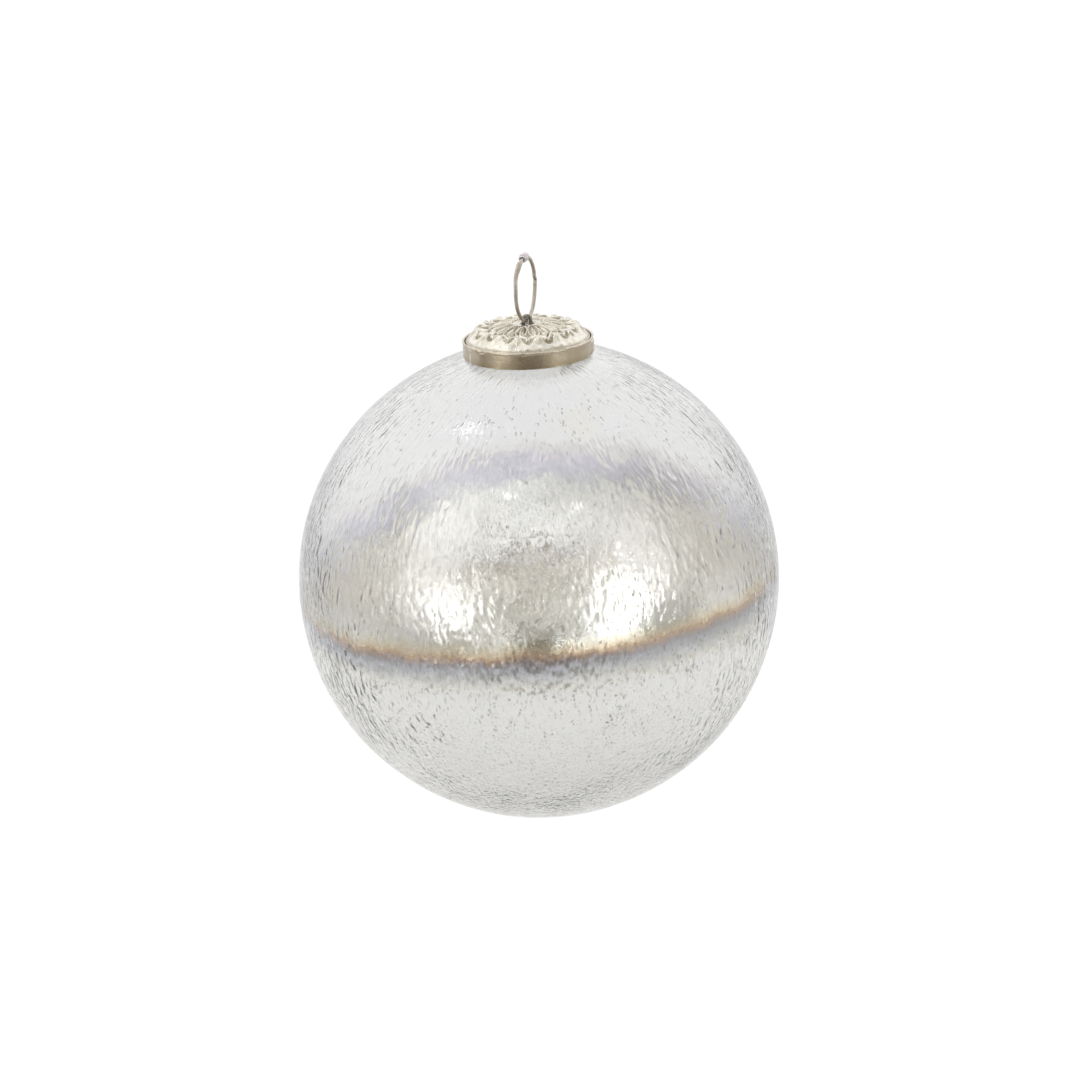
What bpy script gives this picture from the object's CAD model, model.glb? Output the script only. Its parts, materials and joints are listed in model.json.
"""Glass ball ornament: a silvered, seeded glass ball under a stamped metal cap with a wire ring.

The ball stands on z = 0 with its middle on the Z axis and the cap on top. The hanging ring lies
in the YZ plane. The viewer looks from -Y, turned a little towards +X. Mesh lengths, and lengths
in material coordinates, are millimetres in the CAD frame. The stage and camera are in metres.
"""
import json
import math

import bmesh
import bpy
import numpy as np
from mathutils import Matrix, Vector


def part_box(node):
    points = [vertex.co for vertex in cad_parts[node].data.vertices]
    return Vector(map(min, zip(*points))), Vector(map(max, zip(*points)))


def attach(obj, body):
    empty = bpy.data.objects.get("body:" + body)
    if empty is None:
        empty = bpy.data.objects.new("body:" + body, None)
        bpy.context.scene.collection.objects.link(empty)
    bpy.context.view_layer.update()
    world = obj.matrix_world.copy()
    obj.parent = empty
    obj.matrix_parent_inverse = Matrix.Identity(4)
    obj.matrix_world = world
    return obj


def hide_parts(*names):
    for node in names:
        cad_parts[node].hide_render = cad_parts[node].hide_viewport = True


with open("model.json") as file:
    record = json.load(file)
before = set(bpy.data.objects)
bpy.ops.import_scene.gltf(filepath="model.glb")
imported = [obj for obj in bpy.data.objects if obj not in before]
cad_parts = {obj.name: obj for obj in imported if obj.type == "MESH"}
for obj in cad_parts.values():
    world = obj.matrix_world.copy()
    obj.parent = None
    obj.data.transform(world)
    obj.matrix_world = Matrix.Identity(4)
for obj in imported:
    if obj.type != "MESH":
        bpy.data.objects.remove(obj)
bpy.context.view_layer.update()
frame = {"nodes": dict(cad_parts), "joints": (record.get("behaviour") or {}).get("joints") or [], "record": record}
rng = np.random.default_rng(20260)
MM = 0.001

# ------------------------------------------------------------------ sizes, read from the CAD
globe_lo, globe_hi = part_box("glass_globe")
lining_lo, lining_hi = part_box("silver_lining")
dome_lo, dome_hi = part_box("cap_dome")
band_lo, band_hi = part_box("cap_band")

BALL_R = round((globe_hi.x - globe_lo.x) * 1000) / 2   # outside of the ball
BALL_Z = BALL_R                                        # height of its middle
INNER_R = BALL_R - 2.0                                 # inside of the glass wall
SILVER_R = (lining_hi.x - lining_lo.x) * 500
NECK_TOP = globe_hi.z * 1000
NECK_R, BORE_R = 14.2, 11.6
COVE_R = 1.1                                           # rounding between ball and neck
SHEET = 0.4                                            # cap metal thickness
BEAD_R = 0.3                                           # rolled bead on the band's top edge
BAND_R = (band_hi.y - band_lo.y) * 500 - (BEAD_R - SHEET / 2)
BAND_LO, BAND_HI = band_lo.z * 1000, band_hi.z * 1000 - BEAD_R
DOME_R = BAND_R - SHEET - 0.05
DOME_CURVE = 29.5                                      # the dome's radius of curvature
DOME_EDGE_Z = BAND_HI - 0.5
DOME_CENTRE_Z = DOME_EDGE_Z - math.sqrt(DOME_CURVE ** 2 - DOME_R ** 2)
APEX = DOME_CENTRE_Z + DOME_CURVE
HOLE_R = 1.9
WIRE_R = 0.475
PIVOT_Z = next(j for j in frame["joints"] if j["name"] == "ring_swing")["pos_m"][2] * 1000
# the lapped end widens the ring node's box, so its radius comes from the mount in its middle
RING_Z = frame["record"]["mounts"][0]["pos_m"][2] * 1000
RING_R = RING_Z - PIVOT_Z
VIEW_AZ = math.radians(18.0)                           # turn of the viewer from -Y towards +X
TOWARD = np.array([math.sin(VIEW_AZ), -math.cos(VIEW_AZ)])
RIGHT = np.array([math.cos(VIEW_AZ), math.sin(VIEW_AZ)])


# ------------------------------------------------------------------ noise and easing
def cell_hash(ix, iy, iz, seed):
    mixed = (ix.astype(np.uint32) * np.uint32(374761393)
             + iy.astype(np.uint32) * np.uint32(668265263)
             + iz.astype(np.uint32) * np.uint32(2246822519)
             + np.uint32(seed * 3266489917 & 0xFFFFFFFF))
    mixed = (mixed ^ (mixed >> np.uint32(13))) * np.uint32(1274126177)
    mixed = (mixed ^ (mixed >> np.uint32(16))) * np.uint32(2654435761)
    return mixed ^ (mixed >> np.uint32(15))


def unit(hashed, shift):
    """Ten bits of the hash from shift up, as 0 to 1."""
    return ((hashed >> np.uint32(shift)) & np.uint32(1023)).astype(np.float32) / 1023.0


def gnoise(points, seed=0):
    """Gradient noise, about -1 to 1, at points (N by 3, one cell per unit)."""
    points = points.astype(np.float32)
    cell = np.floor(points).astype(np.int32)
    part = points - cell
    ease = part * part * part * (part * (part * 6 - 15) + 10)
    out = np.zeros(len(points), np.float32)
    for dx in (0, 1):
        for dy in (0, 1):
            for dz in (0, 1):
                hashed = cell_hash(cell[:, 0] + dx, cell[:, 1] + dy, cell[:, 2] + dz, seed)
                slope = ((unit(hashed, 0) * 2 - 1) * (part[:, 0] - dx)
                         + (unit(hashed, 10) * 2 - 1) * (part[:, 1] - dy)
                         + (unit(hashed, 20) * 2 - 1) * (part[:, 2] - dz))
                weight = ((ease[:, 0] if dx else 1 - ease[:, 0])
                          * (ease[:, 1] if dy else 1 - ease[:, 1])
                          * (ease[:, 2] if dz else 1 - ease[:, 2]))
                out += slope * weight
    return out * 1.5


def worley(points, seed=0):
    """Distance to the nearest scattered point, and that point's own random number."""
    points = points.astype(np.float32)
    cell = np.floor(points).astype(np.int32)
    best = np.full(len(points), 9.0, np.float32)
    tag = np.zeros(len(points), np.float32)
    for dx in (-1, 0, 1):
        for dy in (-1, 0, 1):
            for dz in (-1, 0, 1):
                corner = cell + np.array([dx, dy, dz], np.int32)
                hashed = cell_hash(corner[:, 0], corner[:, 1], corner[:, 2], seed)
                scattered = corner + np.stack([unit(hashed, k) for k in (0, 10, 20)], 1)
                gap = ((scattered - points) ** 2).sum(1)
                near = gap < best
                best = np.where(near, gap, best)
                tag = np.where(near, unit(hashed, 5), tag)
    return np.sqrt(best), tag


def smooth(start, end, x):
    """0 at start, 1 at end, eased; start may be above end."""
    t = np.clip((x - start) / (end - start), 0, 1)
    return t * t * (3 - 2 * t)


def bell(x, centre, width):
    """A Gaussian hump, 1 high at the centre."""
    return np.exp(-((x - centre) / width) ** 2)


def wrap(angle):
    """The same angle between -pi and pi."""
    return (angle + math.pi) % (2 * math.pi) - math.pi


# ------------------------------------------------------------------ meshes
def full_turn(columns):
    return np.linspace(0, 2 * math.pi, columns, endpoint=False)


def around_z(radius, angle, z):
    """Points at a radius and angle round Z; the three inputs broadcast together."""
    return np.stack(np.broadcast_arrays(radius * np.cos(angle), radius * np.sin(angle), z), -1)


def spun(profile, angle):
    """Rings from a profile of (radius, z)."""
    radius, z = np.array(profile).T[..., None]
    return around_z(radius, angle, z)


def facing(angle):
    """How far a direction round Z points towards the viewer, and to the viewer's right."""
    flat = np.stack([np.cos(angle), np.sin(angle)], -1)
    return flat @ TOWARD, flat @ RIGHT


def build(name, verts_mm, *face_sets):
    """A smooth mesh object. Each face set is an index array with one row per face."""
    mesh = bpy.data.meshes.new(name)
    verts = np.ascontiguousarray(np.asarray(verts_mm, np.float64) * MM, np.float32)
    loops = np.concatenate([f.ravel() for f in face_sets]).astype(np.int32)
    totals = np.concatenate([np.full(len(f), f.shape[1], np.int32) for f in face_sets])
    starts = np.concatenate([[0], np.cumsum(totals)[:-1]]).astype(np.int32)
    mesh.vertices.add(len(verts))
    mesh.vertices.foreach_set("co", verts.ravel())
    mesh.loops.add(len(loops))
    mesh.loops.foreach_set("vertex_index", loops)
    mesh.polygons.add(len(totals))
    mesh.polygons.foreach_set("loop_start", starts)
    mesh.polygons.foreach_set("loop_total", totals)
    mesh.update(calc_edges=True)
    mesh.validate()
    mesh.polygons.foreach_set("use_smooth", np.full(len(mesh.polygons), True))
    mesh.update()
    ob = bpy.data.objects.new(name, mesh)
    bpy.context.scene.collection.objects.link(ob)
    return ob


def revolve(name, rings, poles=None, closed=False):
    """Skin over rings (rows, columns, 3), wrapped round the columns.

    poles is a pair of points that close the first and last rows; closed joins the last row to
    the first. Faces look out when column turn x row advance points out.
    """
    rows, cols = rings.shape[:2]
    verts = rings.reshape(-1, 3)
    i, j = np.meshgrid(np.arange(rows if closed else rows - 1), np.arange(cols), indexing="ij")
    after, above = (j + 1) % cols, (i + 1) % rows
    quads = np.stack([i * cols + j, i * cols + after, above * cols + after, above * cols + j], -1)
    faces = [quads.reshape(-1, 4)]
    if poles:
        first = len(verts)
        verts = np.vstack([verts, *poles])
        j = np.arange(cols)
        after = (j + 1) % cols
        base = (rows - 1) * cols
        faces.append(np.stack([np.full(cols, first), after, j], -1))
        faces.append(np.stack([np.full(cols, first + 1), base + j, base + after], -1))
    return build(name, verts, *faces)


def attribute(ob, name, values):
    data = ob.data.attributes.new(name, "FLOAT", "POINT").data
    data.foreach_set("value", np.asarray(values, np.float32))


def outward(ob):
    """Turns every face to look out of its closed shell."""
    bm = bmesh.new()
    bm.from_mesh(ob.data)
    bmesh.ops.recalc_face_normals(bm, faces=bm.faces)
    bm.to_mesh(ob.data)
    bm.free()
    ob.data.update()


def tube(name, path, radius, sides):
    """A wire along path (N by 3) with domed ends. Its frames are carried along untwisted."""
    count = len(path)
    radius = np.broadcast_to(np.asarray(radius, float), (count,))
    tangent = np.gradient(path, axis=0)
    tangent /= np.linalg.norm(tangent, axis=1)[:, None]
    up = np.array([1.0, 0, 0]) if abs(tangent[0][0]) < 0.8 else np.array([0, 0, 1.0])
    normal = np.cross(tangent[0], up)
    normal /= np.linalg.norm(normal)
    normals = []
    for k in range(count):
        normal = normal - tangent[k] * normal.dot(tangent[k])
        normal /= np.linalg.norm(normal)
        normals.append(normal.copy())
    normals = np.array(normals)
    binormals = np.cross(tangent, normals)

    bow = np.linspace(math.pi / 2, 0, 6)[1:-1]          # angles of the rings on a domed end
    head = path[0] - tangent[0] * (radius[0] * np.sin(bow))[:, None]
    tail = path[-1] + tangent[-1] * (radius[-1] * np.sin(bow[::-1]))[:, None]
    centres = np.vstack([head, path, tail])
    radii = np.concatenate([radius[0] * np.cos(bow), radius, radius[-1] * np.cos(bow[::-1])])

    def extend(rows):
        return np.vstack([np.repeat(rows[:1], len(bow), 0), rows,
                          np.repeat(rows[-1:], len(bow), 0)])

    turn = full_turn(sides)[None, :, None]
    rings = centres[:, None, :] + radii[:, None, None] * (
        np.cos(turn) * extend(normals)[:, None, :] + np.sin(turn) * extend(binormals)[:, None, :])
    ob = revolve(name, rings, poles=(path[0] - tangent[0] * radius[0],
                                     path[-1] + tangent[-1] * radius[-1]))
    outward(ob)
    return ob


# ------------------------------------------------------------------ the ball
BALL_TURN = full_turn(1240)


def directions(polar, angle):
    """Unit directions at angle polar from the bottom pole and angle round Z."""
    return around_z(np.sin(polar), angle, -np.cos(polar))


def relief(dirs, seed, streaks=1.0, pebbles=1.0, crazed=False):
    """How far the blown surface stands in or out (mm) at unit directions."""
    points = dirs.reshape(-1, 3) * BALL_R
    rho = np.maximum(np.hypot(points[:, 0], points[:, 1]), 0.3)
    lat = np.arcsin(np.clip(points[:, 2] / BALL_R, -1, 1))
    unrolled = np.stack([points[:, 0] / rho * BALL_R, points[:, 1] / rho * BALL_R,
                         lat * BALL_R], 1)
    # slow unevenness of a hand-blown wall
    height = (0.15 * gnoise(points / 25, seed) + 0.06 * gnoise(points / 10, seed + 1)
              + 0.03 * gnoise(points / 5.2, seed + 7))
    # patchy streaks up the meridians, strongest round the middle, softer near the cap
    up = smooth(-0.8, -0.2, lat) * (0.48 + 0.52 * (1 - smooth(0.2, 0.66, lat)))
    patch = 0.45 + 1.15 * smooth(-0.40, 0.40, gnoise(points / 13, seed + 12))
    warp = unrolled + 0.7 * np.stack(
        [gnoise(unrolled / 5, seed + 8), gnoise(unrolled / 5, seed + 9), 0 * lat], 1)
    streak = (gnoise(warp * [1 / 1.4, 1 / 1.4, 1 / 3.2], seed + 2) * 0.078
              + gnoise(warp * [1 / 0.85, 1 / 0.85, 1 / 1.9], seed + 3) * 0.046
              + gnoise(warp * [1 / 3.2, 1 / 3.2, 1 / 8.0], seed + 13) * 0.060)
    height += streak * up * patch * streaks
    # close round pebbles on the lower part
    low = 1 - smooth(-0.5, 0.0, lat)
    gap, tag = worley(points / 1.25, seed + 4)
    height += low * pebbles * 0.040 * (1 - smooth(0.0, 0.75, gap)) * (0.3 + tag)
    height += low * pebbles * 0.018 * gnoise(points / 0.8, seed + 6)
    if crazed:
        # a rough spot high on the viewer's side, a little to the left
        spot = np.append(-0.24 * RIGHT + 0.50 * TOWARD, 0.83)
        near = smooth(math.cos(math.radians(9.5)), math.cos(math.radians(3.0)),
                      points @ (spot / np.linalg.norm(spot)) / BALL_R)
        gap, tag = worley(warp * [1 / 1.3, 1 / 1.3, 1 / 1.7], seed + 15)
        height += near * 0.085 * (1 - smooth(0.0, 0.7, gap)) * (0.2 + tag)
    # drawn-out pebbles round the middle
    gap, tag = worley(warp * [1 / 1.5, 1 / 1.5, 1 / 2.6], seed + 5)
    middle = smooth(-0.7, -0.15, lat) * (1 - smooth(0.2, 0.8, lat))
    height += (middle * streaks * patch * 0.080 * (1 - smooth(0.0, 0.7, gap))
               * (tag > 0.35) * (0.25 + tag))
    return height.reshape(dirs.shape[:2])


def glass():
    """The glass: ball, cove, neck with a rolled lip, bore and inner wall, as one shell."""
    foot_r = NECK_R + COVE_R
    top = math.pi - math.asin(foot_r / BALL_R)
    polar = np.linspace(0, top, 560)[1:][:, None]
    dirs = directions(polar, BALL_TURN)
    bumps = relief(dirs, 11, streaks=0.55, pebbles=0.9, crazed=True)
    fade = 1 - smooth(top - 0.12, top - 0.02, polar)
    skin = 0.05                                        # the mean surface lies this far in
    outer = dirs * (BALL_R - skin + bumps * 0.62 * fade)[..., None] + [0, 0, BALL_Z]

    profile = []
    cove_z = BALL_Z + math.sqrt(BALL_R * BALL_R - foot_r ** 2) + 1.25
    for k in range(1, 9):
        angle = math.pi * 1.5 - (math.pi / 2) * k / 8
        profile.append((foot_r + COVE_R * math.cos(angle), cove_z + COVE_R * math.sin(angle)))
    lip = (NECK_R - BORE_R) / 2
    lip_z = NECK_TOP - lip
    for angle in np.linspace(0, math.pi, 17):
        profile.append((BORE_R + lip + lip * math.cos(angle), lip_z + lip * math.sin(angle)))
    bore_end = BALL_Z + math.sqrt(INNER_R * INNER_R - BORE_R ** 2)
    profile += [(BORE_R, z) for z in np.linspace(lip_z - 0.6, bore_end + 0.4, 6)]

    top = math.pi - math.asin(BORE_R / INNER_R)
    polar = np.linspace(top, 0, 500)[:-1][:, None]
    dirs = directions(polar, BALL_TURN)
    fade = 1 - smooth(top - 0.12, top - 0.01, polar)
    inner = dirs * (INNER_R + relief(dirs, 29) * fade)[..., None] + [0, 0, BALL_Z]
    # rows run up the outside and down the inside, so faces look out of the glass
    return revolve("globe_glass", np.concatenate([outer, spun(profile, BALL_TURN), inner]),
                   poles=((0, 0, BALL_Z - BALL_R + skin), (0, 0, BALL_Z - INNER_R)))


def silver_edge(angle):
    """Height of the silvering's edge over the ball's middle, by angle round Z."""
    toward, right = facing(angle)
    base = 2.85 - 5.0 * toward + 2.6 * right + 2.15 * (2 * toward * toward - 1)
    ring = around_z(BALL_R, angle, 0)
    wobble = (0.8 * gnoise(ring / 17, 71) + 0.5 * gnoise(ring / 7, 72)
              + 0.35 * gnoise(ring / 2.7, 73))
    return base + wobble * (0.6 + 1.6 * smooth(0.2, -0.7, toward))


def silver():
    """The silvered film: a thin shell just inside the glass, uneven like the inner wall."""
    skin, film = 0.04, 0.12
    toward, right = facing(BALL_TURN)
    edge = silver_edge(BALL_TURN)
    top = edge + 9.0 + 4.0 * smooth(0.0, -0.6, toward)
    top_polar = np.arccos(np.clip(-top / INNER_R, -1, 1))
    dirs = directions(np.linspace(0, 1, 430)[1:][:, None] * top_polar, BALL_TURN)
    radius = SILVER_R - skin + relief(dirs, 29)
    outer = dirs * radius[..., None] + [0, 0, BALL_Z]
    inner = dirs * (radius - film)[..., None] + [0, 0, BALL_Z]
    rings = np.concatenate([outer, inner[::-1]])
    bottom = BALL_Z - SILVER_R + skin
    ob = revolve("silver_film", rings, poles=((0, 0, bottom), (0, 0, bottom + film)))
    # the coloured edge is strongest behind and a little to the right, plainer at the sides
    off_back = np.abs(np.arctan2(right, -toward) - 0.22)
    patches = gnoise(around_z(BALL_R, BALL_TURN, 0) / 9, 77)
    plain = np.clip(smooth(0.35, 1.05, off_back) + 0.35 * np.clip(patches, -1, 1), 0, 1)
    above_edge = (rings[..., 2] - BALL_Z) - edge
    for name, values, pole in (
        ("edge_mm", above_edge, -80.0),
        ("back", smooth(0.15, -0.25, toward), 0.0),
        ("plain", plain, 0.0),
    ):
        attribute(ob, name, np.append(np.broadcast_to(values, above_edge.shape), [pole, pole]))
    return ob


# ------------------------------------------------------------------ air seeds
def icosphere(level):
    bm = bmesh.new()
    bmesh.ops.create_icosphere(bm, subdivisions=level, radius=1.0)
    verts = np.array([v.co[:] for v in bm.verts])
    faces = np.array([[v.index for v in face.verts] for face in bm.faces])
    bm.free()
    return verts, faces


def seeds(name, count, lat_range, width, stretch, favour=None):
    """Air bubbles in the glass wall, drawn out along the meridians.

    lat_range is in degrees; width (mm) and stretch are (low, high). favour(angle, latitude) is
    the chance that a place keeps its seed.
    """
    ball, ball_faces = icosphere(2)
    lat_lo, lat_hi = map(math.radians, lat_range)
    verts, faces = [], []
    tries = 0
    while len(verts) < count and tries < count * 12:
        tries += 1
        lat = math.asin(rng.uniform(math.sin(lat_lo), math.sin(lat_hi)))
        angle = rng.uniform(0, 2 * math.pi)
        if favour is not None and rng.uniform() > favour(angle, lat):
            continue
        half = rng.uniform(*width) / 2
        long = rng.uniform(*stretch)
        centre_r = INNER_R + (BALL_R - INNER_R) * rng.uniform(0.35, 0.75)
        out = around_z(math.cos(lat), angle, math.sin(lat))
        east = np.array([-math.sin(angle), math.cos(angle), 0.0])
        north = np.cross(out, east)
        lean = rng.normal(0, 0.12)
        across = east * math.cos(lean) + north * math.sin(lean)
        along = north * math.cos(lean) - east * math.sin(lean)
        flat = rng.uniform(0.6, 0.95)
        seed = (ball[:, :1] * across * half + ball[:, 1:2] * along * half * long
                + ball[:, 2:] * out * half * flat)
        faces.append(ball_faces + len(verts) * len(ball))
        verts.append(seed + out * centre_r + [0, 0, BALL_Z])
    return build(name, np.concatenate(verts), np.concatenate(faces))


def clump(angle, lat, size, seed):
    """Positive part of slow noise on the ball, lifted by nothing; size in mm."""
    point = around_z(math.cos(lat), angle, math.sin(lat))[None]
    return float(gnoise(point * BALL_R / size, seed)[0])


def right_side(angle, lat):
    """More seeds on the ball's right and near the cap in front, in loose clumps."""
    toward, right = facing(angle)
    near_cap = 0.9 * bell(lat, 1.02, 0.16) * max(0.0, toward) ** 2
    return ((0.22 + 0.6 * max(0.0, right) ** 1.5 + near_cap)
            * (0.25 + 1.5 * max(0.0, clump(angle, lat, 9, 91) + 0.15)))


def in_streaks(angle, lat):
    return 0.10 + 1.6 * max(0.0, clump(angle, lat, 5, 93))


def all_round(angle, lat):
    return 0.35 + 0.8 * max(0.0, clump(angle, lat, 7, 92) + 0.2)


# name, count, latitudes (degrees), width (mm), stretch, favour
SEED_GROUPS = (
    ("seeds_upper", 900, (4, 68), (0.22, 0.50), (1.0, 3.4), right_side),
    ("seeds_needles", 260, (12, 66), (0.16, 0.26), (6.0, 14.0), None),
    ("seeds_streaks", 1100, (8, 66), (0.11, 0.19), (3.0, 8.0), in_streaks),
    ("seeds_middle", 1500, (-22, 12), (0.20, 0.48), (1.0, 2.8), all_round),
    ("seeds_lower", 2200, (-89, -14), (0.13, 0.29), (1.0, 1.7), all_round),
)

# ------------------------------------------------------------------ cap
SECTOR = 2 * math.pi / 16                              # one petal and one leaf of the stamping
PETAL_MID, PETAL_HALF, PETAL_WIDE = 6.95, 2.95, 1.34   # middle radius, half length, half width
STAR_TIP, STAR_FOOT = 12.75, 9.95                      # radii of the star's points and notches
BOSS_R = 13.15


def petal_distance(u, v):
    """Distance from a petal's outline, negative inside; u runs out along it, v across."""
    def outline(u, v):
        along = u - PETAL_MID
        wide = (PETAL_WIDE * np.clip(1 - (along / PETAL_HALF) ** 2, 0, None) ** 0.42
                * (1 + 0.12 * along))
        return np.abs(v) - wide + 2.0 * np.clip(np.abs(along) - PETAL_HALF, 0, None)

    step = 0.03
    slope = np.hypot((outline(u + step, v) - outline(u - step, v)) / (2 * step),
                     (outline(u, v + step) - outline(u, v - step)) / (2 * step))
    return outline(u, v) / np.maximum(slope, 0.8)


def star_distance(r, turn):
    """Distance from the zigzag of the star of leaves, negative inside."""
    leaf = np.round(turn / SECTOR)
    angle = turn - leaf * SECTOR
    tip = STAR_TIP + np.sin(leaf * 7.77 + 1.3) * 0.28
    x, y = r * np.cos(angle) - tip, r * np.abs(np.sin(angle))
    dx, dy = STAR_FOOT * math.cos(SECTOR / 2) - tip, STAR_FOOT * math.sin(SECTOR / 2)
    t = np.clip((x * dx + y * dy) / (dx * dx + dy * dy), 0, 1)
    gap = np.hypot(x - t * dx, y - t * dy)
    return np.where(x * dy - y * dx > 0, -gap, gap)


def dome_sphere(r):
    return DOME_CENTRE_Z + np.sqrt(DOME_CURVE ** 2 - r * r)


def dome_dish(r):
    """The shallow dish round the hole."""
    return APEX - 0.66 + r * r / 40


def dome_height(r, angle):
    """Height of the dome's top, its stamped relief alone (mm), and its patina (0 to 1)."""
    blend = 0.12                                       # softness of the sphere-to-dish join
    z = APEX - blend * np.log(np.exp(-(dome_sphere(r) - APEX) / blend)
                              + np.exp(-(dome_dish(r) - APEX) / blend))
    z = z + 1.05 * bell(r, 12.9, 1.75)                 # full shoulder above the band
    # uneven stamping: each petal and leaf is a little off
    turn = angle - VIEW_AZ
    number = np.floor(turn / SECTOR)
    jitter = np.sin(number * 12.9898 + 4.1) * 0.5
    petal_turn = turn - (number + 0.5) * SECTOR
    u, v = r * np.cos(petal_turn), r * np.sin(petal_turn)
    petal = petal_distance(u - 0.1 * jitter, v + 0.12 * jitter)
    star = star_distance(r, turn)
    # star: raised ground inside the zigzag, with a ridge and grooves along it
    out = 0.30 * (1 - smooth(-0.10, 0.30, star))
    out += 0.34 * bell(star, -0.36, 0.27)
    out -= 0.18 * bell(star, -1.00, 0.26) * (r > 9.6)
    out += 0.20 * (1 - smooth(-1.7, -1.2, star)) * smooth(10.0, 10.6, r)
    out -= 0.18 * bell(star, 0.36, 0.22)
    # petals: outline, inner loop, hollow between
    out += 0.34 * bell(petal, -0.08, 0.25) * (1 - smooth(9.9, 10.5, r))
    out -= 0.24 * bell(petal, -0.58, 0.24)
    out += 0.20 * (1 - smooth(-1.10, -0.70, petal))
    out -= 0.24 * bell(petal, 0.36, 0.18) * (r < 9.8)
    # a diamond boss in line with each petal
    diamond = np.abs(u - BOSS_R) / 1.75 + np.abs(v) / 1.65
    boss = (1 - smooth(0.18, 1.0, diamond)) * smooth(0.10, 0.50, -star)
    out += 0.46 * boss
    # a low outer ring of beads, and a groove outside it
    out += 0.14 * bell(r, 15.0, 0.35) * (0.5 + 0.5 * np.cos(32 * turn))
    out -= 0.20 * bell(r, 15.75, 0.28)

    points = around_z(r, angle, 0).reshape(-1, 3)
    patina = (boss * (0.85 + 0.25 * np.sin(number * 5.1 + 0.6)) + 0.95 * bell(star, 0.36, 0.28)
              + 0.8 * bell(petal, -0.58, 0.26) * (r < 9.9)
              + 0.55 * bell(star, -1.00, 0.28) * (r > 9.6))
    patina = patina * (0.75 + 0.45 * np.sin(number * 2.3 + 1.9))
    worn = gnoise(points / 2.6, 61).reshape(r.shape)
    patina = patina + ((0.22 + 0.75 * smooth(0.0, 0.20, worn)) * smooth(11.6, 12.8, r)
                       * (1 - smooth(14.9, 15.6, r)) * smooth(0.0, 0.4, -star))
    patina = np.clip(patina + 0.7 * bell(r, 15.8, 0.3), 0, 1)

    # hand work: shallow dents, and a crease from the hole towards -Y
    dent = (0.20 * gnoise(points / 4.7, 51) + 0.10 * gnoise(points / 1.9, 52)).reshape(r.shape)
    out += dent * smooth(2.2, 4.5, r) * (1 - smooth(15.6, 16.2, r))
    fade = smooth(3.3, 4.4, r) * (1 - smooth(15.9, 16.25, r))
    off_crease = wrap(angle + math.pi / 2)
    crease = (-0.45 * bell(r * off_crease, 0, 0.35 + 0.12 * (r - HOLE_R))
              * (1 - smooth(3.2, 6.2, r)) * (np.abs(off_crease) < 1.2))
    rim = 0.12 * bell(r, 2.25, 0.3)
    return z + out * fade + crease + rim, out * fade, patina * fade


def dome():
    angle = full_turn(1152)
    radii = np.concatenate([np.linspace(HOLE_R, 3.6, 14)[:-1],
                            np.linspace(3.6, DOME_R - 0.12, 132)])
    # the top runs from the rim in to the hole, the underside back out, then the skirt
    grid_r, grid_angle = np.meshgrid(radii[::-1], angle, indexing="ij")
    z, stamped, patina = dome_height(grid_r, grid_angle)
    top = around_z(grid_r, grid_angle, z)
    under_r = np.array([HOLE_R, HOLE_R + 0.05, 3.0, 4.2, 6, 8, 10, 12, 14, DOME_R - SHEET])
    grid_r, grid_angle = np.meshgrid(under_r, angle, indexing="ij")
    under_z = np.minimum(dome_sphere(grid_r) - SHEET - 0.28, dome_dish(grid_r) - SHEET - 0.25)
    under_z[0] = z[-1] - SHEET * 0.8
    under_z[1] = under_z[0] - 0.12
    under = around_z(grid_r, grid_angle, under_z)
    skirt = spun([
        (DOME_R - SHEET, DOME_EDGE_Z - 2.2),
        (DOME_R, DOME_EDGE_Z - 2.2),
        (DOME_R, DOME_EDGE_Z - 1.0),
        (DOME_R, DOME_EDGE_Z - 0.08),
        (DOME_R - 0.03, DOME_EDGE_Z - 0.02),
    ], angle)
    ob = revolve("stamped_dome", np.concatenate([top, under, skirt]), closed=True)
    rest = (len(under) + len(skirt)) * len(angle)
    attribute(ob, "relief_mm", np.append(stamped, np.full(rest, -0.3)))
    attribute(ob, "patina", np.append(patina, np.full(rest, 0.6)))
    outward(ob)
    return ob


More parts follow.
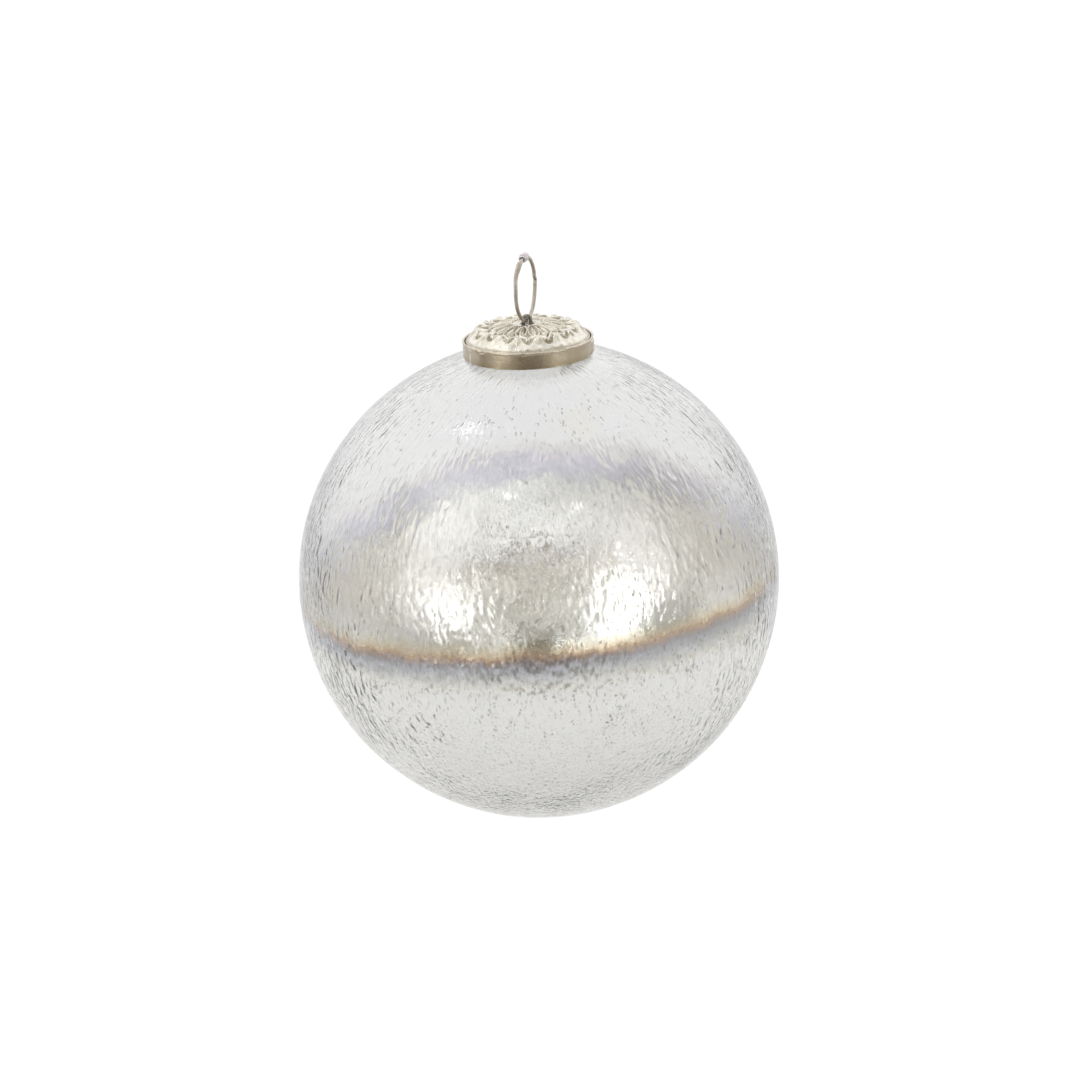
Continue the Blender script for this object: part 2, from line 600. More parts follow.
def band():
    """The cap's side: inner wall down, round lower edge, outer wall up, bead over."""
    angle = full_turn(720)
    inner = BAND_R - SHEET
    half = SHEET / 2
    low_z = BAND_LO + half
    profile = [(inner, z) for z in np.linspace(BAND_HI - 0.15, low_z, 6)]
    for q in np.linspace(math.pi, 2 * math.pi, 9):
        profile.append((BAND_R - half + half * math.cos(q), low_z + half * math.sin(q)))
    for k, z in zip(np.linspace(0, 1, 18)[1:], np.linspace(low_z, BAND_HI - 0.25, 18)[1:]):
        profile.append((BAND_R + 0.02 * math.sin(math.pi * k), z))
    for q in np.linspace(-0.7, math.pi + 0.55, 15):
        profile.append((BAND_R - half + BEAD_R * math.cos(q), BAND_HI + BEAD_R * math.sin(q)))

    circle = around_z(BAND_R, angle, 0)
    wobble = 0.05 * gnoise(circle / 6, 61) + 0.03 * gnoise(circle / 2.2, 62)
    lip = 0.07 * gnoise(circle / 3.1, 63) + 0.05 * gnoise(circle / 1.1, 64)
    # the bead is pinched in and down at one place, in and up at another, both left of the front
    off_front = angle - VIEW_AZ + math.pi / 2
    pinch = bell(wrap(off_front + 0.80), 0, 0.075)
    nick = bell(wrap(off_front + 0.07), 0, 0.05)
    rings = []
    for r, z in profile:
        up = smooth(BAND_HI - 1.0, BAND_HI, z)
        points = circle + [0, 0, z]
        dent = 0.022 * gnoise(points / 2.8, 65) + 0.010 * gnoise(points / 0.9, 66)
        radius = r + (wobble + dent) * (1.0 if r > inner + 0.05 else 0.25) - 0.06
        lift = up * (0.10 * nick - 0.22 * pinch + lip)
        push = -up * (0.55 * pinch + 0.25 * nick)
        radius = radius + push * (1 if z > BAND_HI - 0.3 else 0.3)
        rings.append(around_z(radius, angle, z + lift - 0.02))
    ob = revolve("cap_side_band", np.array(rings), closed=True)
    outward(ob)
    return ob


def lap():
    """Soldered lap where the band's ends meet: a low curved pad near +X."""
    cols, rows = 40, 24
    middle, half_angle = math.radians(8), 1.75 / BAND_R
    z = np.linspace(BAND_LO + 0.38, BAND_HI - 0.42, rows)[:, None]
    across = np.linspace(-1, 1, cols)
    edge = np.minimum(1 - np.abs(across), 1 - np.abs(np.linspace(-1, 1, rows)[:, None]))
    angle = middle + half_angle * across * (1 + 0.06 * np.sin(z * 3.1))
    proud = 0.20 * (1 - np.exp(-edge * 9)) + 0.02 * np.sin(z * 5 + across * 3)
    front = around_z(BAND_R + proud, angle, z)
    back = around_z(BAND_R - 0.16, angle, z)
    n = rows * cols                                    # offset from a front vertex to its back
    faces = []
    for i in range(rows - 1):
        for j in range(cols - 1):
            a = i * cols + j
            faces.append((a, a + 1, a + cols + 1, a + cols))
            faces.append((n + a, n + a + cols, n + a + cols + 1, n + a + 1))
    for j in range(cols - 1):
        faces.append((j, n + j, n + j + 1, j + 1))
        a = (rows - 1) * cols + j
        faces.append((a, a + 1, n + a + 1, n + a))
    for i in range(rows - 1):
        a = i * cols
        faces.append((a, a + cols, n + a + cols, n + a))
        a = i * cols + cols - 1
        faces.append((a, n + a, n + a + cols, a + cols))
    ob = build("band_lap", np.concatenate([front.reshape(-1, 3), back.reshape(-1, 3)]),
               np.array(faces))
    outward(ob)
    return ob


# ------------------------------------------------------------------ wire parts
def ring():
    """One length of wire: it starts outside the loop near the top and goes once round.

    Angles are in degrees from +Y towards +Z. The lapped start stands out and towards -X, the
    end in and towards +X.
    """
    start = 119
    deg = np.linspace(start, start + 360 + 33, 640)
    angle = np.radians(deg)
    lap_start = 1 - smooth(146, 172, deg)
    lap_end = smooth(start + 345, start + 362, deg)
    off = WIRE_R * (0.62 * lap_start - 0.12 * lap_end)
    # a jog on the +Y strand, and slight hand-bent unevenness that spares the bottom
    off += 0.22 * bell(deg, 363, 4.0) - 0.26 * bell(deg, 371, 5.0)
    uneven = np.stack([np.cos(angle) * 8, np.sin(angle) * 8, np.zeros_like(angle)], -1)
    bent = 1 - bell((deg - 270 + 180) % 360 - 180, 0, 28.0)
    off += 0.10 * gnoise(uneven / 5, 81) * bent
    side = (0.10 * gnoise(uneven / 6, 82) * bent + 0.05 * bell(deg, 367, 6)
            + WIRE_R * (0.30 * lap_end - 0.30 * lap_start))
    radius = RING_R + off
    path = np.stack([side, radius * np.cos(angle), RING_Z + radius * np.sin(angle)], -1)
    taper = 1 - 0.62 * smooth(start + 366, start + 393, deg)
    return tube("ring_wire", path, WIRE_R * (1 + 0.015 * np.sin(deg / 3.1)) * taper, sides=32)


def coil(name, angle, phase, stand_off, line_r, shift=0.0):
    """Line wound round the ring's wire; stand_off is its distance from the wire's middle."""
    radius = RING_R + stand_off * np.cos(phase)
    path = np.stack([stand_off * np.sin(phase) + shift, radius * np.cos(angle),
                     RING_Z + radius * np.sin(angle)], -1)
    return tube(name, path, line_r, sides=16)


def line():
    """Clear line wound round the top of the ring, a little loose, in two layers."""
    line_r = 0.17
    arc = 2 * math.radians(12.5)
    turns, upper_turns, steps = 9, 6, 40
    t = np.linspace(0, 1, turns * steps)
    phase = t * turns * 2 * math.pi
    lower = coil("line_coil", math.pi / 2 + (t - 0.5) * arc, phase,
                 WIRE_R + line_r + 0.03 + 0.05 * np.sin(phase * 0.31) ** 2, line_r,
                 shift=0.06 * np.sin(t * 23.0) * 0.3)
    # the second layer goes back over the middle
    t = np.linspace(0, 1, upper_turns * steps)
    phase = t * upper_turns * 2 * math.pi + 1.0
    upper = coil("line_coil_upper", math.pi / 2 + (0.5 - t) * arc * 0.62 + 0.02, phase,
                 WIRE_R + 3 * line_r + 0.02 - 0.05 * np.sin(phase * 0.5) ** 2, line_r * 0.95)
    return lower, upper


# ------------------------------------------------------------------ node graphs
class Signal:
    """A node's output. Arithmetic on it adds Math nodes."""

    def __init__(self, net, socket):
        self.net, self.socket = net, socket

    def __add__(self, other):
        return self.net.math("ADD", self, other)

    def __radd__(self, other):
        return self.net.math("ADD", other, self)

    def __sub__(self, other):
        return self.net.math("SUBTRACT", self, other)

    def __rsub__(self, other):
        return self.net.math("SUBTRACT", other, self)

    def __mul__(self, other):
        return self.net.math("MULTIPLY", self, other)

    def __truediv__(self, other):
        return self.net.math("DIVIDE", self, other)


class Net:
    """A node tree under construction."""

    def __init__(self, tree):
        self.tree = tree
        tree.nodes.clear()

    def put(self, socket, value):
        if isinstance(value, Signal):
            self.tree.links.new(value.socket, socket)
        elif socket.type == "RGBA":
            socket.default_value = (*value, 1.0)
        else:
            socket.default_value = value

    def node(self, kind, inputs=None, **props):
        node = self.tree.nodes.new("ShaderNode" + kind)
        for name, value in props.items():
            setattr(node, name, value)
        for key, value in (inputs or {}).items():
            self.put(node.inputs[key], value)
        return node

    def signal(self, kind, inputs=None, output=0, **props):
        return Signal(self, self.node(kind, inputs, **props).outputs[output])

    def math(self, op, *values):
        return self.signal("Math", dict(enumerate(values)), operation=op)

    def vmath(self, op, *values, output="Vector"):
        return self.signal("VectorMath", dict(enumerate(values)), output, operation=op)

    def scaled(self, vector, scale):
        return self.signal("VectorMath", {0: vector, "Scale": scale}, "Vector",
                           operation="SCALE")

    def step(self, x, span):
        """Smooth step of x over span, 0 to 1."""
        return self.signal("MapRange", {"Value": x, "From Min": span[0], "From Max": span[1]},
                           "Result", interpolation_type="SMOOTHSTEP", clamp=True)

    def remap(self, x, span, to):
        """x over span, mapped straight to the range to."""
        return self.signal("MapRange", {"Value": x, "From Min": span[0], "From Max": span[1],
                                        "To Min": to[0], "To Max": to[1]}, "Result", clamp=True)

    def ramp(self, x, stops):
        """Colour ramp through stops of (position, colour or grey)."""
        node = self.node("ValToRGB", {0: x})
        elements = node.color_ramp.elements
        while len(elements) < len(stops):
            elements.new(0.5)
        for element, (position, colour) in zip(elements, stops):
            element.position = position
            rgb = colour if isinstance(colour, tuple) else (colour,) * 3
            element.color = (*rgb, 1.0)
        return Signal(self, node.outputs["Color"])

    def mix(self, fac, a, b):
        return self.signal("Mix", {"Factor": fac, 6: a, 7: b}, 2, data_type="RGBA",
                           clamp_factor=True)

    def shader_mix(self, fac, a, b):
        return self.signal("MixShader", {0: fac, 1: a, 2: b})

    def noise(self, vector, scale, detail=2.0, rough=0.5):
        return self.signal("TexNoise", {"Vector": vector, "Scale": scale, "Detail": detail,
                                        "Roughness": rough}, "Fac")

    def voronoi(self, vector, scale, soften=None):
        """Distance to the nearest cell point, rounded off if soften is given."""
        inputs = {"Vector": vector, "Scale": scale}
        if soften is None:
            return self.signal("TexVoronoi", inputs, "Distance", feature="F1")
        return self.signal("TexVoronoi", {**inputs, "Smoothness": soften}, "Distance",
                           feature="SMOOTH_F1")

    def spots(self, vector, scale, span):
        """1 at each cell point, falling to 0 over span."""
        return 1.0 - self.step(self.voronoi(vector, scale), span)

    def combine(self, *values):
        return self.signal("CombineXYZ", dict(enumerate(values)))

    def split(self, vector):
        return [Signal(self, s) for s in self.node("SeparateXYZ", {0: vector}).outputs]

    def object_mm(self):
        return self.scaled(self.signal("TexCoord", output="Object"), 1000.0)

    def attr(self, name):
        return self.signal("Attribute", output="Fac", attribute_name=name)

    def pointiness(self):
        return self.signal("NewGeometry", output="Pointiness")

    def light_path(self, ray):
        return self.signal("LightPath", output=ray)

    def bump(self, height, strength=1.0):
        return self.signal("Bump", {"Height": height, "Distance": 0.001, "Strength": strength})

    def out(self, surface):
        self.node("OutputMaterial", {"Surface": surface})


def material(name, make):
    mat = bpy.data.materials.new(name)
    mat.use_nodes = True
    make(Net(mat.node_tree))
    return mat


def hoop(net, x, y, z, around, up):
    """Coordinates that run round Z and up it: around and up scale the two directions."""
    rho = net.math("MAXIMUM", net.math("SQRT", x * x + y * y), 0.5)
    return net.combine(x / rho * around, y / rho * around, z * up)


def meridian(net, up):
    """Coordinates in which noise makes streaks up the ball's meridians."""
    return hoop(net, *net.split(net.object_mm()), around=62.0, up=up)


# ------------------------------------------------------------------ materials
def glass_material(net):
    point = net.object_mm()
    _, _, z = net.split(point)
    low = 1.0 - net.step(z, span=(BALL_Z - 30, BALL_Z + 8))
    pebbles = net.voronoi(point, scale=1.05, soften=0.35)
    drawn = net.voronoi(meridian(net, up=0.55), scale=0.85, soften=0.3)
    streak = net.noise(meridian(net, up=0.16), scale=0.95, detail=3.0, rough=0.55)
    height = pebbles * (low * -0.045) + streak * 0.018
    height = height + drawn * net.remap(z, span=(BALL_Z - 25, BALL_Z + 40), to=(-0.028, -0.006))
    normal = net.bump(height)
    # a faint warm smear high on the wall, measured from a middle beyond the +Y side
    x, y, z = net.split(net.vmath("SUBTRACT", point, (-2.7, 55.0, BALL_Z + 27.5)))
    reach = net.math("SQRT", x * x * 0.030 + y * y * 0.006 + z * z * 0.009)
    streaky = net.noise(meridian(net, up=0.12), scale=0.7, detail=3.0, rough=0.6)
    smear = (1.0 - net.step(reach, span=(0.2, 1.15))) * net.step(streaky, span=(0.30, 0.62))
    body = net.signal("BsdfGlass", {
        "Color": net.mix(smear, (0.979, 0.981, 0.981), (0.985, 0.965, 0.915)),
        "Roughness": 0.0,
        "IOR": 1.5,
        "Normal": normal,
    }, distribution="GGX")
    clear = net.signal("BsdfTransparent", {"Color": (0.93, 0.94, 0.935)})
    net.out(net.shader_mix(net.light_path("Is Shadow Ray"), body, clear))


def seed_material(net):
    mottle = net.noise(net.object_mm(), scale=1.3)
    air = net.signal("BsdfGlass", {
        "Color": net.mix(mottle, (0.86, 0.86, 0.855), (0.98, 0.98, 0.975)),
        "Roughness": 0.05,
        "IOR": 0.80,
    }, distribution="GGX")
    clear = net.signal("BsdfTransparent")
    net.out(net.shader_mix(net.light_path("Is Shadow Ray"), air, clear))


def silver_material(net):
    point = net.object_mm()
    _, _, z = net.split(point)
    edge = net.attr("edge_mm")
    back = net.attr("back")
    ragged = net.noise(meridian(net, up=0.22), scale=0.9, detail=4.0, rough=0.6) - 0.5
    patch = net.noise(point, scale=0.09, detail=3.0, rough=0.55) - 0.5
    blot = net.noise(point, scale=0.30, detail=4.0, rough=0.6) - 0.5
    # ragged height over the edge (mm), in front and behind, and the same as ramp positions
    front_mm = edge + (ragged * 3.6 + patch * 3.4)
    back_mm = edge + (ragged * 3.0 + (patch * 9.0 + blot * 8.0))
    front_at = net.remap(front_mm, span=(-8.0, 8.0), to=(0.0, 1.0))
    back_at = net.remap(back_mm, span=(-10.0, 14.0), to=(0.0, 1.0))
    silver_grey = (0.905, 0.905, 0.905)
    front_colour = net.ramp(front_at, [
        (0.00, silver_grey),
        (0.14, (0.90, 0.89, 0.86)),
        (0.28, (0.74, 0.75, 0.77)),
        (0.40, (0.58, 0.60, 0.66)),
        (0.50, (0.56, 0.54, 0.60)),
        (0.57, (0.75, 0.62, 0.575)),
        (0.65, (0.89, 0.72, 0.585)),
        (0.74, (0.96, 0.89, 0.77)),
        (0.88, (0.96, 0.95, 0.92)),
    ])
    back_colour = net.ramp(back_at, [
        (0.00, silver_grey),
        (0.22, (0.85, 0.855, 0.86)),
        (0.34, (0.79, 0.795, 0.84)),
        (0.50, (0.80, 0.80, 0.87)),
        (0.66, (0.84, 0.82, 0.88)),
        (0.84, (0.94, 0.92, 0.90)),
    ])
    back_colour = net.mix(net.attr("plain"), back_colour, (0.91, 0.91, 0.905))
    colour = net.mix(back, front_colour, back_colour)
    # how much of the glass the film covers
    front_cover = net.ramp(front_at, [
        (0.00, 1), (0.42, 1), (0.52, 0.80), (0.60, 0.50), (0.68, 0.16), (0.80, 0),
    ])
    back_cover = net.ramp(back_at, [
        (0.00, 1), (0.26, 1), (0.38, 0.72), (0.56, 0.50), (0.72, 0.24), (0.92, 0),
    ])
    thin = net.attr("plain") * net.step(back_at, span=(0.22, 0.46))
    back_cover = back_cover * (1.0 + thin * -0.78)
    cover = net.mix(back, front_cover, back_cover)
    mottle = net.noise(point, scale=0.55, detail=4.0, rough=0.6)
    colour = net.mix(net.step(mottle, span=(0.56, 0.76)) * 0.16, colour, (0.62, 0.60, 0.53))
    # grey flecks in the silvering: round below, drawn out above
    low = 1.0 - net.step(z, span=(BALL_Z - 28, BALL_Z - 8))
    fleck_noise = net.noise(point, scale=1.25, detail=3.0, rough=0.6)
    flecks = low * (net.spots(point, scale=1.05, span=(0.10, 0.36)) * 0.36
                    + net.spots(point, scale=1.8, span=(0.12, 0.42)) * 0.40)
    dashes = (1.0 - low) * (
        net.spots(meridian(net, up=0.42), scale=0.85, span=(0.10, 0.34)) * 0.46
        + net.spots(meridian(net, up=0.34), scale=1.35, span=(0.10, 0.36)) * 0.34)
    marks = (flecks + dashes) * net.step(fleck_noise, span=(0.36, 0.56))
    colour = net.mix(marks, colour, (0.30, 0.30, 0.29))
    drawn = net.voronoi(meridian(net, up=0.5), scale=1.2, soften=0.3)
    streak = net.noise(meridian(net, up=0.30), scale=1.25, detail=3.0, rough=0.6)
    pebbles = net.voronoi(point, scale=1.1, soften=0.3)
    height = (1.0 - low) * (drawn * -0.09 + streak * 0.13) + low * (pebbles * -0.06)
    # hazy on its outer face for some way below the edge; clean inside
    radial = net.vmath("NORMALIZE", net.vmath("SUBTRACT", point, (0.0, 0.0, BALL_Z)))
    facing_out = net.vmath("DOT_PRODUCT", net.signal("TexCoord", output="Normal"), radial,
                           output="Value")
    outer = net.step(facing_out, span=(-0.1, 0.1))
    near = net.step(front_mm, span=(-17.0, -3.0))
    haze = near * outer * ((1.0 - back) * 0.27)
    film = net.signal("BsdfPrincipled", {
        "Base Color": colour,
        "Metallic": 1.0,
        "Roughness": haze + net.remap(mottle, span=(0.3, 0.7), to=(0.02, 0.06)),
        "Normal": net.bump(height),
    })
    front_tint = net.ramp(front_at, [
        (0.40, (0.62, 0.52, 0.47)),
        (0.58, (0.80, 0.68, 0.56)),
        (0.66, (0.95, 0.88, 0.77)),
        (0.80, (0.99, 0.98, 0.94)),
        (0.9, (1, 1, 1)),
    ])
    back_tint = net.ramp(back_at, [
        (0.26, (0.80, 0.80, 0.86)),
        (0.56, (0.88, 0.875, 0.93)),
        (0.74, (0.96, 0.95, 0.95)),
        (0.92, (1, 1, 1)),
    ])
    bare = net.signal("BsdfTransparent", {"Color": net.mix(back, front_tint, back_tint)})
    net.out(net.shader_mix(cover, bare, film))


def metal(base, dark, bright, rough, grime, scale, stamped):
    """A worn metal; stamped ones read the dome's relief and patina attributes."""
    def make(net):
        point = net.object_mm()
        broad = net.noise(point, scale=0.35 * scale, detail=5.0, rough=0.6)
        medium = net.noise(point, scale=2.2 * scale, detail=4.0, rough=0.55)
        fine = net.noise(point, scale=9.0 * scale, detail=3.0, rough=0.5)
        wear = broad * 0.6 + medium * 0.4
        colour = net.mix(net.step(wear, span=(0.38, 0.62)), dark, base)
        if stamped:
            height = net.attr("relief_mm")
            patina = net.attr("patina") * net.remap(medium, span=(0.3, 0.6), to=(0.55, 1.15))
            hollow = 1.0 - net.step(height, span=(-0.30, -0.02))
            patina = net.math("MINIMUM", net.math("MAXIMUM", patina, hollow * 0.8), 1.0)
            colour = net.mix(patina * grime, colour, (0.27, 0.235, 0.165))
            colour = net.mix(net.step(height, span=(0.30, 0.60)) * 0.6, colour, bright)
        pointiness = net.pointiness()
        pit = 1.0 - net.step(pointiness, span=(0.455, 0.495))
        colour = net.mix(pit * (0.55 * grime), colour, (0.22, 0.19, 0.13))
        colour = net.mix(net.step(pointiness, span=(0.505, 0.55)) * 0.5, colour, bright)
        net.out(net.signal("BsdfPrincipled", {
            "Base Color": colour,
            "Metallic": 1.0,
            "Roughness": net.remap(medium * 0.6 + fine * 0.4, span=(0.3, 0.7),
                                   to=(rough * 0.75, rough * 1.35)),
            "Normal": net.bump(medium * 0.02 + fine * 0.008, strength=0.8),
        }))
    return make


def band_metal(net):
    point = net.object_mm()
    x, y, z = net.split(point)
    lines = net.noise(hoop(net, x, y, z, around=2.0, up=7.0), scale=1.4, detail=4.0, rough=0.6)
    broad = net.noise(point, scale=0.4, detail=5.0, rough=0.6)
    medium = net.noise(point, scale=2.4, detail=4.0, rough=0.55)
    colour = net.mix(net.step(broad, span=(0.30, 0.70)), (0.47, 0.40, 0.305), (0.55, 0.48, 0.385))
    low = 1.0 - net.step(z + medium, span=(BAND_LO + 0.9, BAND_LO + 2.4))
    colour = net.mix(low * 0.45, colour, (0.42, 0.35, 0.23))
    worn_edge = net.step(net.pointiness(), span=(0.51, 0.58)) * 0.8
    colour = net.mix(worn_edge, colour, (0.90, 0.86, 0.76))
    net.out(net.signal("BsdfPrincipled", {
        "Base Color": colour,
        "Metallic": 1.0,
        "Roughness": net.remap(medium, span=(0.3, 0.7), to=(0.15, 0.27)),
        "Normal": net.bump(lines * 0.02 + medium * 0.02, strength=0.8),
    }))


def clip_metal(net):
    """Dark at the clip's eye, pale down its legs."""
    point = net.object_mm()
    _, _, z = net.split(point)
    mottle = net.noise(point, scale=4.0, detail=3.0)
    eye = net.mix(mottle, (0.19, 0.18, 0.155), (0.28, 0.265, 0.23))
    leg = net.mix(mottle, (0.62, 0.60, 0.55), (0.72, 0.70, 0.66))
    net.out(net.signal("BsdfPrincipled", {
        "Base Color": net.mix(net.step(z, span=(126.5, 130.0)), leg, eye),
        "Metallic": 1.0,
        "Roughness": net.remap(mottle, span=(0.3, 0.7), to=(0.28, 0.45)),
        "Normal": net.bump(mottle, strength=0.02),
    }))


def line_material(net):
    mottle = net.noise(net.object_mm(), scale=3.0, detail=3.0)
    net.out(net.signal("BsdfPrincipled", {
        "Base Color": net.mix(mottle, (0.84, 0.81, 0.84), (0.90, 0.87, 0.91)),
        "Roughness": net.remap(mottle, span=(0.3, 0.7), to=(0.12, 0.25)),
        "IOR": 1.53,
        "Transmission Weight": 0.12,
        "Normal": net.bump(mottle, strength=0.05),
    }))


def floor_material(net):
    """Plain white to the camera, a pale matt table to everything else."""
    mottle = net.noise(net.object_mm(), scale=0.02, detail=3.0)
    matt = net.signal("BsdfDiffuse", {
        "Color": net.mix(mottle, (0.83, 0.83, 0.84), (0.85, 0.85, 0.86))})
    white = net.signal("Emission", {"Color": (1, 1, 1), "Strength": 1.02})
    net.out(net.shader_mix(net.light_path("Is Camera Ray"), matt, white))


# ------------------------------------------------------------------ studio
# Azimuth is 0 behind the camera and + to its right, elevation + up, both in degrees.
# Patches of the room, each laid over the last: strength, azimuths (from, to, softness),
# elevations (from, to, softness), colour.
ROOM_PATCHES = (
    # lighter walls, above the dark figure
    (0.75, (-46, -14, 4), (24, 60, 4), (0.92, 0.90, 0.83)),
    (0.5, (20, 46, 5), (28, 60, 6), (0.80, 0.78, 0.70)),
    # dark figure behind the camera, its foot, and a dark hood high above it
    (0.75, (-17, 22, 5), (-22, 10, 2), (0.21, 0.19, 0.15)),
    (0.7, (-34, 27, 5), (-21, -11, 2), (0.26, 0.235, 0.19)),
    (0.85, (-20, 17, 3), (46, 60, 2), (0.26, 0.24, 0.18)),
    # low walls, left and right
    (1, (-78, -44, 7), (-40, -12, 3), (0.70, 0.67, 0.59)),
    (1, (46, 125, 7), (-40, -12, 3), (0.72, 0.70, 0.63)),
    # soft boxes, left and right
    (1, (-66, -36, 3), (-9, 42, 4), (1.95, 1.93, 1.86)),
    (1, (40, 66, 4), (-9, 37, 5), (1.8, 1.78, 1.71)),
    # darker gaps outside them
    (0.7, (-96, -70, 5), (-30, 48, 8), (0.42, 0.40, 0.34)),
    (0.5, (68, 84, 5), (0, 48, 8), (0.50, 0.48, 0.42)),
    # a high soft box on the left
    (0.85, (-106, -38, 5), (40, 60, 4), (1.65, 1.63, 1.56)),
)
# azimuth, elevation, radius (degrees), colour
LAMPS = (
    (-121.5, 66.2, 1.1, (14, 14, 14)),
    (-114.0, 64.0, 1.2, (14, 14, 14)),
    (-118.5, 62.2, 0.9, (12, 12, 12)),
    (-112.0, 67.8, 0.9, (12, 12, 12)),
    (-24, 58, 1.8, (7, 7, 6.8)),
    (30, 50, 1.6, (6, 6, 5.7)),
    (-4, 33, 1.3, (5, 4.9, 4.6)),
    (22, 15, 1.1, (4, 3.9, 3.6)),
    (-30, 20, 1.2, (5, 4.9, 4.6)),
)


def studio():
    """The room as a world shader. It turns with the camera's own direction laid flat."""
    world = bpy.data.worlds.new("studio")
    bpy.context.scene.world = world
    world.use_nodes = True
    net = Net(world.node_tree)
    direction = net.scaled(net.signal("NewGeometry", output="Incoming"), -1.0)
    forward = net.signal("VectorTransform", {0: (0, 0, 1)}, vector_type="VECTOR",
                         convert_from="CAMERA", convert_to="WORLD")
    fwd_x, fwd_y, _ = net.split(forward)
    length = net.math("MAXIMUM", net.math("SQRT", fwd_x * fwd_x + fwd_y * fwd_y), 0.01)
    fwd_x, fwd_y = fwd_x / length, fwd_y / length
    x, y, z = net.split(direction)
    ahead = x * fwd_x + y * fwd_y
    right = x * fwd_y - y * fwd_x
    azimuth = net.math("ARCTAN2", right, ahead * -1.0) * (180 / math.pi)
    elevation = net.math("ARCSINE", z) * (180 / math.pi)

    def between(value, lo, hi, soft):
        return (net.step(value, span=(lo - soft, lo + soft))
                * (1.0 - net.step(value, span=(hi - soft, hi + soft))))

    def patch(azimuths, elevations):
        return between(azimuth, *azimuths) * between(elevation, *elevations)

    # uneven walls behind the camera, pale backdrop ahead, bright ceiling
    clutter = net.noise(net.combine(azimuth * (1 / 7.5), elevation * (1 / 9.0), 3.0),
                        scale=1.0, detail=3.0, rough=0.6)
    wall = net.ramp(clutter, [
        (0.36, (0.17, 0.15, 0.11)),
        (0.46, (0.40, 0.37, 0.30)),
        (0.55, (0.60, 0.57, 0.49)),
        (0.61, (1.35, 1.31, 1.22)),
        (0.68, (1.9, 1.86, 1.76)),
    ])
    backdrop = net.mix(net.step(elevation, span=(-6, 22)), (0.83, 0.83, 0.83), (1.26, 1.25, 1.22))
    room = net.mix(net.step(net.math("ABSOLUTE", azimuth), span=(82, 112)), wall, backdrop)
    room = net.mix(net.step(elevation, span=(50, 62)), room, (1.12, 1.11, 1.09))
    for strength, azimuths, elevations, colour in ROOM_PATCHES:
        area = patch(azimuths, elevations)
        room = net.mix(area if strength == 1 else area * strength, room, colour)
    # small bright things, which the streaks of the glass break into sparks
    bits = net.noise(net.combine(azimuth * (1 / 2.6), elevation * (1 / 2.6), 9.0), scale=1.0)
    spark = net.step(bits, span=(0.60, 0.66)) * patch((-36, 40, 6), (6, 50, 5))
    room = net.mix(spark, room, (1.8, 1.76, 1.65))
    # the table's light reaches the walls low down
    room = net.mix(1.0 - net.step(elevation, span=(-31, -20)), room, (0.77, 0.765, 0.765))
    for lamp_az, lamp_el, radius, colour in LAMPS:
        az, el = math.radians(lamp_az), math.radians(lamp_el)
        near = (right * (math.sin(az) * math.cos(el)) + ahead * (-math.cos(az) * math.cos(el))
                + z * math.sin(el))
        rim = (math.cos(math.radians(radius * 1.3)), math.cos(math.radians(radius * 0.7)))
        room = net.mix(net.step(near, span=rim), room, colour)
    seen = net.mix(net.light_path("Is Camera Ray"), room, (1.02, 1.02, 1.02))
    background = net.signal("Background", {"Color": seen, "Strength": 1.0})
    net.node("OutputWorld", {"Surface": background})


def floor():
    floor_z, floor_r = -0.09, 0.33
    mesh = bpy.data.meshes.new("floor")
    rim = [(floor_r * math.cos(k * math.pi / 64), floor_r * math.sin(k * math.pi / 64), floor_z)
           for k in range(128)]
    mesh.from_pydata(rim, [], [tuple(range(128))])
    ob = bpy.data.objects.new("floor", mesh)
    bpy.context.scene.collection.objects.link(ob)
    ob.data.materials.append(material("pale_floor", floor_material))


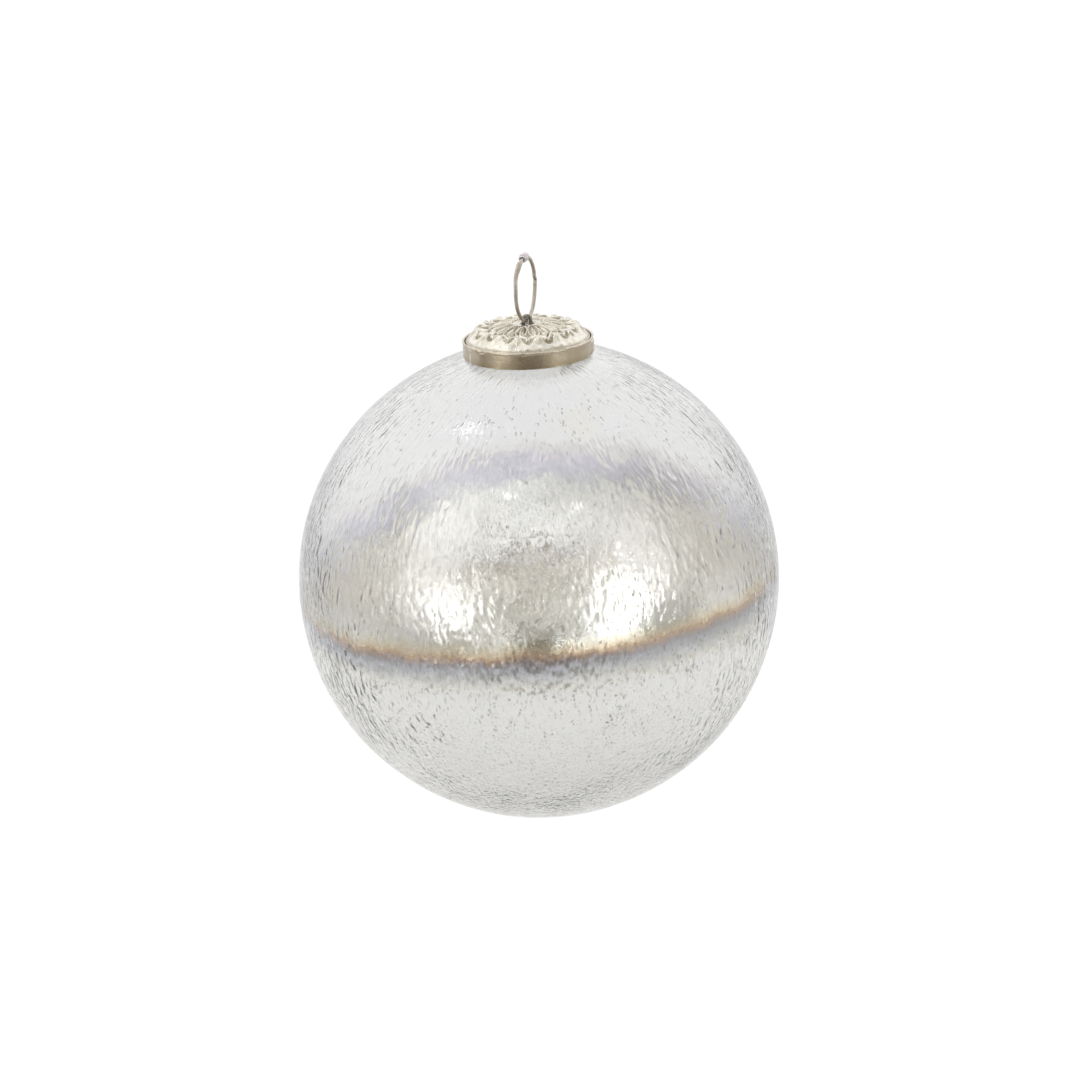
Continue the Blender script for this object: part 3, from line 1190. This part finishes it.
def camera():
    """Looks at the ball's middle from the viewer's side, then rolls, tilts and turns a little."""
    elevation, distance = math.radians(19.8), 0.635
    roll, tilt, pan = math.radians(-2.7), 0.01566036, -0.000376884   # radians
    cam = bpy.data.cameras.new("camera")
    cam.sensor_width = 36.0
    cam.lens = 79.6
    cam.clip_start, cam.clip_end = 0.01, 50
    ob = bpy.data.objects.new("camera", cam)
    bpy.context.scene.collection.objects.link(ob)
    aim = Vector((0, 0, BALL_Z * MM))
    flat = math.cos(elevation)
    pos = aim + Vector((TOWARD[0] * flat, TOWARD[1] * flat, math.sin(elevation))) * distance
    look = (aim - pos).to_track_quat("-Z", "Y").to_matrix().to_4x4()
    ob.matrix_world = (Matrix.Translation(pos) @ look @ Matrix.Rotation(roll, 4, "Z")
                       @ Matrix.Rotation(tilt, 4, "X") @ Matrix.Rotation(pan, 4, "Y"))
    bpy.context.scene.camera = ob


def render_settings():
    scene = bpy.context.scene
    scene.view_settings.view_transform = "Standard"
    scene.view_settings.look = "None"
    cycles = scene.cycles
    cycles.max_bounces = 24
    cycles.transmission_bounces = 20
    cycles.glossy_bounces = 14
    cycles.transparent_max_bounces = 16
    cycles.caustics_reflective = False
    cycles.caustics_refractive = False
    cycles.sample_clamp_indirect = 6.0


# ------------------------------------------------------------------ put together
def dress(ob, mat, body, slot, *replaces):
    ob.data.materials.clear()
    ob.data.materials.append(mat)
    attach(ob, body)
    if replaces:
        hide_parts(*replaces)


seeded_glass = material("seeded_glass", glass_material)
silvering = material("silvering", silver_material)
dome_metal = material("stamped_metal", metal(
    base=(0.70, 0.665, 0.60), dark=(0.57, 0.525, 0.45), bright=(0.90, 0.875, 0.82),
    rough=0.24, grime=1.0, scale=1.0, stamped=True))
side_metal = material("band_metal", band_metal)
ring_metal = material("ring_wire_metal", metal(
    base=(0.50, 0.455, 0.40), dark=(0.40, 0.355, 0.30), bright=(0.60, 0.56, 0.50),
    rough=0.32, grime=0.4, scale=0.45, stamped=False))
clip_wire = material("clip_wire_metal", clip_metal)
clear_line = material("clear_line", line_material)
seed_air = material("seed_air", seed_material)

dress(glass(), seeded_glass, "globe", "glass", "glass_globe")
dress(silver(), silvering, "globe", "silver", "silver_lining")
for group in SEED_GROUPS:
    dress(seeds(*group), seed_air, "globe", "glass")
dress(dome(), dome_metal, "cap", "cap_metal", "cap_dome")
dress(band(), side_metal, "cap", "cap_metal", "cap_band")
dress(lap(), side_metal, "cap", "cap_metal")
dress(ring(), ring_metal, "ring", "ring_wire", "hanging_ring")
lower_coil, upper_coil = line()
dress(lower_coil, clear_line, "ring", "clear_line", "line_wrap")
dress(upper_coil, clear_line, "ring", "clear_line")
clip = frame["nodes"]["spring_clip"]
clip.data.materials.clear()
clip.data.materials.append(clip_wire)

floor()
studio()
camera()
render_settings()
